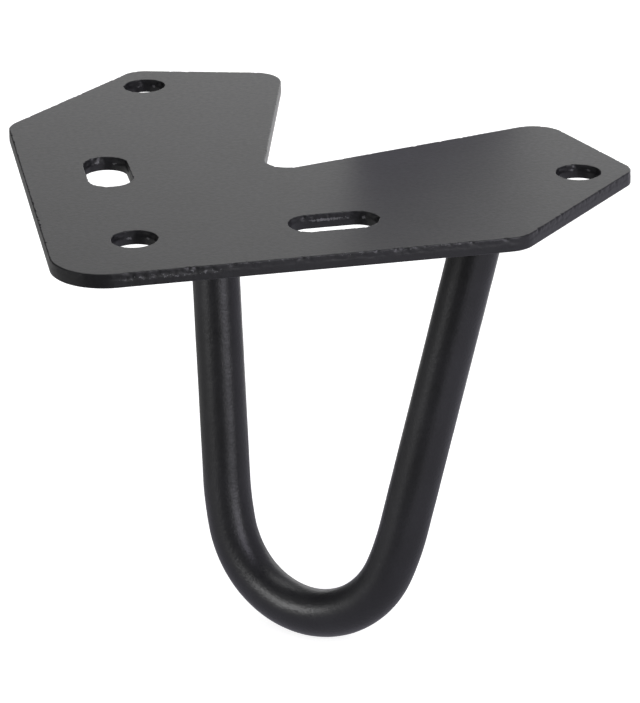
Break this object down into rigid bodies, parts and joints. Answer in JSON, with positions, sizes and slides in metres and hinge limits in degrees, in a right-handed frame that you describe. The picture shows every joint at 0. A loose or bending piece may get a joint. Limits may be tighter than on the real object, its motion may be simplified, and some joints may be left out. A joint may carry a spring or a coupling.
{
  "type": "hairpin table leg",
  "caption": "Short hairpin furniture leg: a round steel bar bent into a leaning U, welded under an L-shaped screw plate with round holes and slots, coated matt black.",
  "frame": {"origin": "centre of the plate's corner screw hole, on the plate's top face, which lies against the table", "axes": "+Z out of the plate's top face, towards the table; +X and +Y along the outer edges of the plate's two arms, away from its corner; the part is alike on both sides of the vertical plane through X = Y"},
  "size_m": [0.1099, 0.1099, 0.1014],
  "materials": {
    "black_coat": "satin black powder coat with a fine orange-peel texture, over mild steel"
  },
  "bodies": {
    "root": {"mounting_plate": "black_coat", "hairpin_bar": "black_coat", "weld_bead_right": "black_coat", "weld_bead_left": "black_coat"}
  },
  "joints": []
}
